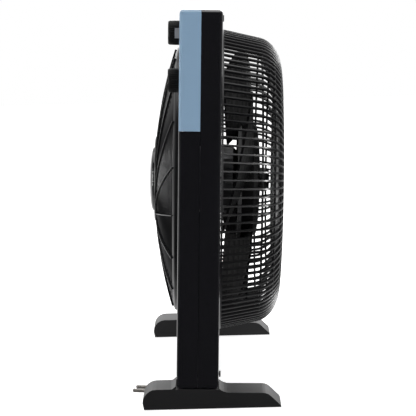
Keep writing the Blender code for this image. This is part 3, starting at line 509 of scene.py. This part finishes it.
turn(build, [(CAGE_RADIUS, MOUTH + 0.0001), (CAGE_RADIUS - 0.0004, MOUTH + 0.0022),
             (CAGE_RADIUS - 0.0030, MOUTH + 0.0022),
             (CAGE_RADIUS - 0.0030, MOUTH + 0.0001)], 160)
for share in (0.02, 0.40, 0.66):
    angle = share * math.pi / 2
    depth = CAGE_DEPTH - SHOULDER + SHOULDER * math.sin(angle)
    r = CAGE_RADIUS - CAGE_TAPER * depth - SHOULDER_REACH * (1 - math.cos(angle)) - RIB_DEPTH * 0.7
    hoop(build, r, MOUTH + depth - 0.0004, 0.0024, 0.0024)
for r, width in ((0.128, 0.0026), (BACK_RING, 0.0034), (0.080, 0.0024)):
    flat_hoop(build, r, width)
turned_cap(build, [(0.0, back - 0.0030), (PLATE_RADIUS, back - 0.0030), (PLATE_RADIUS, back - 0.0008),
                   (PLATE_RADIUS - 0.0008, back), (PLATE_RADIUS - 0.005, back),
                   (PLATE_RADIUS - 0.0056, back - 0.0005),
                   (0.030, back - 0.0006), (0.0294, back), (0.0, back)])
settle("fine_rear_grille", build, GRILLE_BLACK, "base", ["rear_grille"])

# %% [markdown]
# ## Louver
# The louver is a shallow dome of thin rings, tied by straight spokes that pass beside the middle, and it
# turns slowly in front of the shell to sweep the air about. Its rings are blades on edge, much thinner
# than they are deep, so from the side they read as fine lines, one behind the other.

# %% Louver: rings and spokes
LOUVER_RADIUS = 0.1520
RIM_H, TOP_H = 0.0055, 0.0292
LOUVER_INNER = 0.0440
RINGS = 17
RING_THICK = 0.0014
RING_DEEP = 0.0028
SPOKES = 18
SPOKE_OFFSET = 0.0400


def dome(r):
    """The y of the louver's front at a radius."""
    return FRONT_FACE - (TOP_H - (TOP_H - RIM_H) * (r / LOUVER_RADIUS) ** 2)


build = bmesh.new()
for i in range(RINGS):
    r = 0.0515 + (0.1455 - 0.0515) * i / (RINGS - 1)
    y = dome(r)
    turn(build, [(r - RING_THICK * 0.3, y), (r + RING_THICK * 0.3, y), (r + RING_THICK / 2, y + 0.0006),
                 (r + RING_THICK / 2, y + RING_DEEP), (r - RING_THICK / 2, y + RING_DEEP),
                 (r - RING_THICK / 2, y + 0.0006)], 128)
for k in range(SPOKES):
    start = 0.3 + 2 * math.pi * k / SPOKES
    points = [(r, dome(r) + 0.0005) for r in [0.0460 + 0.1030 * j / 14 for j in range(15)]]
    points.reverse()
    bar(build, points, lambda r, a=start: a + math.acos(SPOKE_OFFSET / r), 0.0012, 0.0026)
rim = LOUVER_RADIUS
turn(build, [(rim - 0.0012, dome(rim)), (rim - 0.0002, dome(rim) + 0.0008), (rim, dome(rim) + 0.0018),
             (rim, dome(rim) + 0.0042), (rim - 0.0052, dome(rim) + 0.0042),
             (rim - 0.0056, dome(rim) + 0.0010),
             (rim - 0.0050, dome(rim - 0.005))], 160)
inner = LOUVER_INNER
turn(build, [(inner + 0.006, dome(inner + 0.006)), (inner + 0.006, dome(inner) + 0.0044),
             (inner, dome(inner) + 0.0044),
             (inner, dome(inner))], 96)
settle("fine_louver", build, GRILLE_BLACK, "louver", ["louver_grille", "louver_rim"])

# %% Louver: disc and cap
disc_low, disc_high = span("louver_disc")
cap_low, cap_high = span("louver_cap")
R, front = disc_high.x, disc_low.y
build = bmesh.new()
turned_cap(build, [(0.0, front), (R - 0.0100, front), (R - 0.0096, front + 0.0004),
                   (R - 0.0070, front + 0.0004),
                   (R - 0.0066, front), (R - 0.0016, front), (R - 0.0004, front + 0.0005),
                   (R, front + 0.0014),
                   (R, front + 0.0026), (0.0070, front + 0.0026), (0.0070, disc_high.y),
                   (0.0033, disc_high.y),
                   (0.0033, front + 0.0036), (0.0, front + 0.0036)])
settle("fine_louver_disc", build, GRILLE_BLACK, "louver", ["louver_disc"])
build = bmesh.new()
R, high = cap_high.x, cap_high.y - cap_low.y
dome_points = [(0.0, cap_low.y)]
for i in range(1, 15):
    angle = i / 14 * math.pi / 2
    dome_points.append((R * math.sin(angle) ** 0.75,
                        cap_high.y - 0.0012 - (high - 0.0012) * math.cos(angle)))
turned_cap(build, dome_points + [(R, cap_high.y), (0.0, cap_high.y)])
settle("fine_louver_cap", build, SHELL_BLACK, "louver", ["louver_cap"], 60.0)

# %% [markdown]
# ## The bead on the hub
# The hub is a cup with a raised bead round its open end. The bead is a paler grey than the blades. This is
# painted highlight that stands in, in part, for the light its rounded rim catches. It shows between the
# ribs, so it gets a ring of its own over the solid one.

# %% Hub bead
BEAD_R, BEAD_FRONT, BEAD_BACK = 0.0706, 0.0419, 0.0463
build = bmesh.new()
turn(build, [(BEAD_R - 0.0004, BEAD_FRONT), (BEAD_R, BEAD_FRONT + 0.0005), (BEAD_R, BEAD_BACK - 0.0005),
             (BEAD_R - 0.0004, BEAD_BACK), (BEAD_R - 0.0016, BEAD_BACK), (BEAD_R - 0.0016, BEAD_FRONT)], 120)
# The bead's paler grey is a painted highlight, added to the light that its rounded rim really catches.
settle("hub_bead", build, INNER_GREY, "fan_rotor", ())

# %% [markdown]
# ## Dials
# Each dial is a drum with a knurled side, a flat top with a shallow finger bar, and a pale insert that
# points at the printed scale. The knurl is cut as real ridges, because the dial stands out against the
# light and its edge shows.

# %% Dials
def at(y):
    """A point on the axis at a depth."""
    return Vector((0.0, y, 0.0))


def dial(name, node, body):
    """A knurled drum with a dished top and a finger bar, fitted to the solid dial's span."""
    low, high = span(node)
    centre = Vector(((low.x + high.x) / 2, 0.0, (low.z + high.z) / 2))
    radius = (high.z - low.z) / 2
    depth = high.y - low.y
    ridges = 36
    build = bmesh.new()
    levels = [(0.90, 0.0), (0.985, 0.03), (1.0, 0.06), (1.0, 0.40), (0.985, 0.84), (0.95, 0.955),
              (0.90, 1.0)]
    count = ridges * 4
    rows = []
    for share, along in levels:
        row = []
        for k in range(count):
            angle = 2 * math.pi * k / count
            groove = 0.030 if k % 4 == 0 and 0.05 < along < 0.95 else 0.0
            out, _ = radial(angle)
            rim_point = centre + out * (radius * (share - groove))
            row.append(build.verts.new(rim_point + at(high.y - depth * along)))
        rows.append(row)
    for lower, upper in zip(rows, rows[1:]):
        for k in range(count):
            j = (k + 1) % count
            build.faces.new((lower[k], lower[j], upper[j], upper[k]))
    build.faces.new(rows[0])
    inset = [build.verts.new(centre + (v.co - centre - at(v.co.y)) * 0.86 + at(low.y)) for v in rows[-1]]
    floor = [build.verts.new(centre + (v.co - centre - at(v.co.y)) * 0.95 + at(low.y + 0.0012))
             for v in inset]
    middle = build.verts.new(centre + at(low.y + 0.0012))
    for k in range(count):
        j = (k + 1) % count
        build.faces.new((rows[-1][k], rows[-1][j], inset[j], inset[k]))
        build.faces.new((inset[k], inset[j], floor[j], floor[k]))
        build.faces.new((floor[k], floor[j], middle))
    grip = bmesh.ops.create_cube(build, size=1.0, matrix=Matrix.Translation(centre + at(low.y + 0.0011))
                                 @ Matrix.Diagonal((radius * 1.62, 0.0022, radius * 0.42, 1.0)))
    edges = list({e for v in grip["verts"] for e in v.link_edges})
    bmesh.ops.bevel(build, geom=edges, offset=0.0006, segments=2, profile=0.5, affect="EDGES")
    return settle(name, build, DIAL_BLACK, body, [node])


dial("fine_timer_knob", "timer_knob", "timer_dial")
dial("fine_speed_knob", "speed_knob", "speed_dial")

# %% [markdown]
# ## Power cord
# The cord is about a metre and a half of round two-core lead. It leaves a slanted gland in the rear
# shell's underside and stays under the shell, where most of it is wound into a flat hank with a tie. Its
# end runs on beneath the foot's arch and turns forward into the plug, which lies beside the foot. The
# route repeats the solid model's points.

# %% Cord: the route
CORD_D = 0.0050
REST = CORD_D / 2 + 0.0001
SEAM_Y = -0.0217
GLAND_SLOPE = math.radians(35)
gland_way = Vector((-math.cos(GLAND_SLOPE), 0.0, -math.sin(GLAND_SLOPE)))
gland_tip = Vector((0.060, 0.0120, 0.0221 - 0.0055)) + gland_way * 0.0200
leaving = gland_tip + gland_way * 0.0010
route = [
    leaving, leaving + gland_way * 0.0035, Vector((0.0300, 0.0122, REST)), Vector((0.0170, 0.0138, REST)),
    Vector((0.0020, 0.0168, REST + 0.0004)), Vector((-0.0125, 0.0184, REST + 0.0010)),
]
HANK_X, HANK_Y, RUN = -0.0780, -0.0016, 0.1000
WIDE, TIGHT = 0.0200, 0.0153
LAYER = 0.0051
BEND = math.pi * (WIDE + TIGHT) / 2
LAP = 2 * RUN + 2 * BEND


def hank_point(lap):
    """A point of the hank after so many laps, in three flat spirals that go in, out and in."""
    if lap < 1.3:
        r = WIDE - (WIDE - TIGHT) * min(lap, 1.0)
    elif lap < 2.6:
        r = TIGHT + (WIDE - TIGHT) * min(lap - 1.3, 1.0)
    else:
        r = WIDE - (WIDE - TIGHT) * min(lap - 2.6, 1.0)
    z = REST + 0.0010
    for start in (1.0, 2.3):
        lift = min(max((lap - start) / 0.3, 0.0), 1.0)
        z += LAYER * lift * lift * (3 - 2 * lift)
    part = (lap % 1.0) * LAP
    if part < RUN:
        flat = Vector((RUN / 2 - part, r))
    elif part < RUN + BEND:
        a = math.pi / 2 + (part - RUN) / BEND * math.pi
        flat = Vector((-RUN / 2 + r * math.cos(a), r * math.sin(a)))
    elif part < 2 * RUN + BEND:
        flat = Vector((-RUN / 2 + part - RUN - BEND, -r))
    else:
        a = -math.pi / 2 + (part - 2 * RUN - BEND) / BEND * math.pi
        flat = Vector((RUN / 2 + r * math.cos(a), r * math.sin(a)))
    return Vector((HANK_X + flat.x, HANK_Y + flat.y, z))


LAPS = 3.0 + (2 * RUN + BEND) / LAP
steps = round(LAPS * 28)
route += [hank_point(LAPS * i / steps) for i in range(steps)] + [hank_point(LAPS - 0.0001)]
route += [Vector(p) for p in ((-0.0080, -0.0165, 0.0122), (0.0060, -0.0160, 0.0082),
                              (0.0200, -0.0148, 0.0042),
                              (0.0340, -0.0125, REST), (0.0550, -0.0070, REST), (0.0780, 0.0020, REST),
                              (0.0980, 0.0090, REST))]
PLUG_SPOT = Vector((0.1335, -0.0265, 0.0058))
PLUG_TURN = math.radians(11)
TURN_R = 0.0205
backward = Vector((math.sin(PLUG_TURN), math.cos(PLUG_TURN), 0.0))
relief_end = PLUG_SPOT + backward * 0.0140
turn_middle = relief_end - Vector((math.cos(PLUG_TURN), -math.sin(PLUG_TURN), 0.0)) * TURN_R
for i, z in enumerate((0.0, 0.0, 0.0002, 0.0010, 0.0023, 0.0032)):
    a = math.pi / 2 - (math.pi / 2 + PLUG_TURN) * i / 5
    route.append(Vector((turn_middle.x + TURN_R * math.cos(a), turn_middle.y + TURN_R * math.sin(a),
                         REST + z)))
print(f"route of {len(route)} points, hank of {LAPS:.2f} laps")


# %% Cord: smooth it and lay it down
def smooth_route(points, spacing):
    """A smooth curve through the points, read off at an even spacing."""
    knots = [Vector(p) for p in points]
    knots = [2 * knots[0] - knots[1]] + knots + [2 * knots[-1] - knots[-2]]
    fine_points = []
    for a, b, c, d in zip(knots, knots[1:], knots[2:], knots[3:]):
        t1 = (b - a).length ** 0.5
        t2 = t1 + (c - b).length ** 0.5
        t3 = t2 + (d - c).length ** 0.5
        for i in range(12):
            t = t1 + (t2 - t1) * i / 12
            p = a * ((t1 - t) / t1) + b * (t / t1)
            q = b * ((t2 - t) / (t2 - t1)) + c * ((t - t1) / (t2 - t1))
            s = c * ((t3 - t) / (t3 - t2)) + d * ((t - t2) / (t3 - t2))
            u = p * ((t2 - t) / t2) + q * (t / t2)
            w = q * ((t3 - t) / (t3 - t1)) + s * ((t - t1) / (t3 - t1))
            fine_points.append(u * ((t2 - t) / (t2 - t1)) + w * ((t - t1) / (t2 - t1)))
    fine_points.append(knots[-2])
    total = sum((q - p).length for p, q in zip(fine_points, fine_points[1:]))
    count = round(total / spacing)
    even, walked = [fine_points[0]], 0.0
    for p, q in zip(fine_points, fine_points[1:]):
        step = (q - p).length
        while len(even) < count and walked + step >= total / count * len(even):
            even.append(p + (q - p) * ((total / count * len(even) - walked) / step))
        walked += step
    return even + [fine_points[-1]], total


line, cord_length = smooth_route([p + Vector((0, SEAM_Y, 0)) for p in route], 0.0030)
for point in line:
    point.z = max(point.z, REST)
lowest = min(p.z for p in line) - CORD_D / 2
curve = bpy.data.curves.new("power_cord_line", "CURVE")
curve.dimensions = "3D"
curve.bevel_depth = CORD_D / 2
curve.bevel_resolution = 4
curve.use_fill_caps = True
spline = curve.splines.new("POLY")
spline.points.add(len(line) - 1)
for point, where in zip(spline.points, line):
    point.co = (*where, 1.0)
spline.use_smooth = True
curve.materials.append(JACKET)
lead = bpy.data.objects.new("power_cord_line", curve)
bpy.context.scene.collection.objects.link(lead)
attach(lead, "base")
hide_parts("power_cord", "cord_hank", "plug_lead")
print(f"cord: {cord_length:.3f} m, lowest {lowest * 1000:.2f} mm over the floor")

# %% [markdown]
# ## Light and floor
# The room is a white sweep with the light from above and from both ends of the fan. The side that faces
# the camera must stay nearly black, so nothing bright stands behind the camera: the world is white behind
# the fan and dark on the near side, and the top face mirrors a bright band low in the far sky. The floor
# glows enough to stay white, except where the near side would mirror it. Two narrow strips shine only in
# mirrored light and draw the bright lines along the shell's fillets.

# %% Floor
build = bmesh.new()
bmesh.ops.create_grid(build, x_segments=1, y_segments=1, size=4.0)
mesh = bpy.data.meshes.new("floor")
build.to_mesh(mesh)
build.free()
floor = bpy.data.objects.new("floor", mesh)
floor.location = (0.0, 0.0, -0.0001)
bpy.context.scene.collection.objects.link(floor)
paper = bpy.data.materials.new("floor_paper")
paper.use_nodes = True
tree = paper.node_tree
shader = tree.nodes["Principled BSDF"]
shader.inputs["Base Color"].default_value = (0.86, 0.86, 0.86, 1.0)
shader.inputs["Roughness"].default_value = 0.9
shader.inputs["Specular IOR Level"].default_value = 0.1
shader.inputs["Emission Color"].default_value = (1.0, 1.0, 1.0, 1.0)
where = put(tree, "ShaderNodeTexCoord").outputs["Object"]
far = put(tree, "ShaderNodeVectorMath", {"operation": "LENGTH"}, _0=where).outputs["Value"]
glow = put(tree, "ShaderNodeMapRange", Value=far, From_Min=0.25, From_Max=0.60, To_Min=0.80,
           To_Max=1.05).outputs[0]
path = put(tree, "ShaderNodeLightPath")
lit = maths(tree, "MULTIPLY", glow, maths(tree, "ADD", maths(tree, "MULTIPLY",
                                                             path.outputs["Is Camera Ray"], 0.55),
                                          0.45))
tree.links.new(lit, shader.inputs["Emission Strength"])
shadow_side = put(tree, "ShaderNodeBsdfDiffuse", Color=(0.02, 0.02, 0.02, 1.0))
along = put(tree, "ShaderNodeSeparateXYZ", Vector=where).outputs["X"]
fade = put(tree, "ShaderNodeMapRange", Value=along, From_Min=0.10, From_Max=0.20).outputs[0]
share = maths(tree, "MULTIPLY", fade, path.outputs["Is Glossy Ray"])
blend_floor = put(tree, "ShaderNodeMixShader", _0=share, _1=shader.outputs[0], _2=shadow_side.outputs[0])
tree.links.new(blend_floor.outputs[0], tree.nodes["Material Output"].inputs["Surface"])
mesh.materials.append(paper)
print("floor:", tuple(round(c, 1) for c in floor.dimensions))

# %% World
world = bpy.data.worlds.new("sweep")
bpy.context.scene.world = world
world.use_nodes = True
tree = world.node_tree
background = tree.nodes["Background"]
way = put(tree, "ShaderNodeTexCoord").outputs["Generated"]
toward = put(tree, "ShaderNodeSeparateXYZ", Vector=way)
near = put(tree, "ShaderNodeMapRange", Value=toward.outputs["X"], From_Min=-0.55, From_Max=0.25,
           To_Min=0.62,
           To_Max=0.02).outputs[0]
path = put(tree, "ShaderNodeLightPath")
skyline = put(tree, "ShaderNodeMapRange", Value=toward.outputs["X"], From_Min=-0.9, From_Max=-0.97,
              To_Min=0.0,
              To_Max=1.7).outputs[0]
near = maths(tree, "ADD", near, maths(tree, "MULTIPLY", skyline, path.outputs["Is Glossy Ray"]))
strength = maths(tree, "MAXIMUM", near, path.outputs["Is Camera Ray"])
background.inputs["Color"].default_value = (1.0, 1.0, 1.0, 1.0)
tree.links.new(strength, background.inputs["Strength"])
print("world:", world.name)


# %% Lights
def softbox(name, place, target, size, power, shine_only=False):
    """A rectangular light that faces its target, and lights no matt surface if it is shine_only."""
    light = bpy.data.lights.new(name, "AREA")
    light.shape = "RECTANGLE"
    light.size, light.size_y = size
    light.energy = power
    box = bpy.data.objects.new(name, light)
    box.location = place
    box.rotation_mode = "QUATERNION"
    box.rotation_quaternion = (Vector(target) - Vector(place)).to_track_quat("-Z", "Y")
    box.visible_diffuse = not shine_only
    bpy.context.scene.collection.objects.link(box)
    return box


softbox("top_light", (-0.1, 0.0, 1.9), (0.0, 0.0, 0.2), (1.6, 1.6), 22.0)
softbox("rear_light", (0.95, 1.25, 0.75), (0.2, 0.0, 0.25), (0.28, 1.0), 9.0)
softbox("front_light", (0.80, -1.40, 0.75), (0.2, 0.0, 0.25), (0.26, 1.0), 9.0)
softbox("rear_strip", (0.67, 0.65, 0.35), (0.2, 0.0, 0.30), (0.12, 0.7), 26.0, True)
softbox("front_strip", (0.56, -0.73, 0.35), (0.2, -0.04, 0.30), (0.12, 0.7), 14.0, True)
bpy.context.scene.view_settings.view_transform = "Standard"
print("lights:", len(bpy.data.lights))
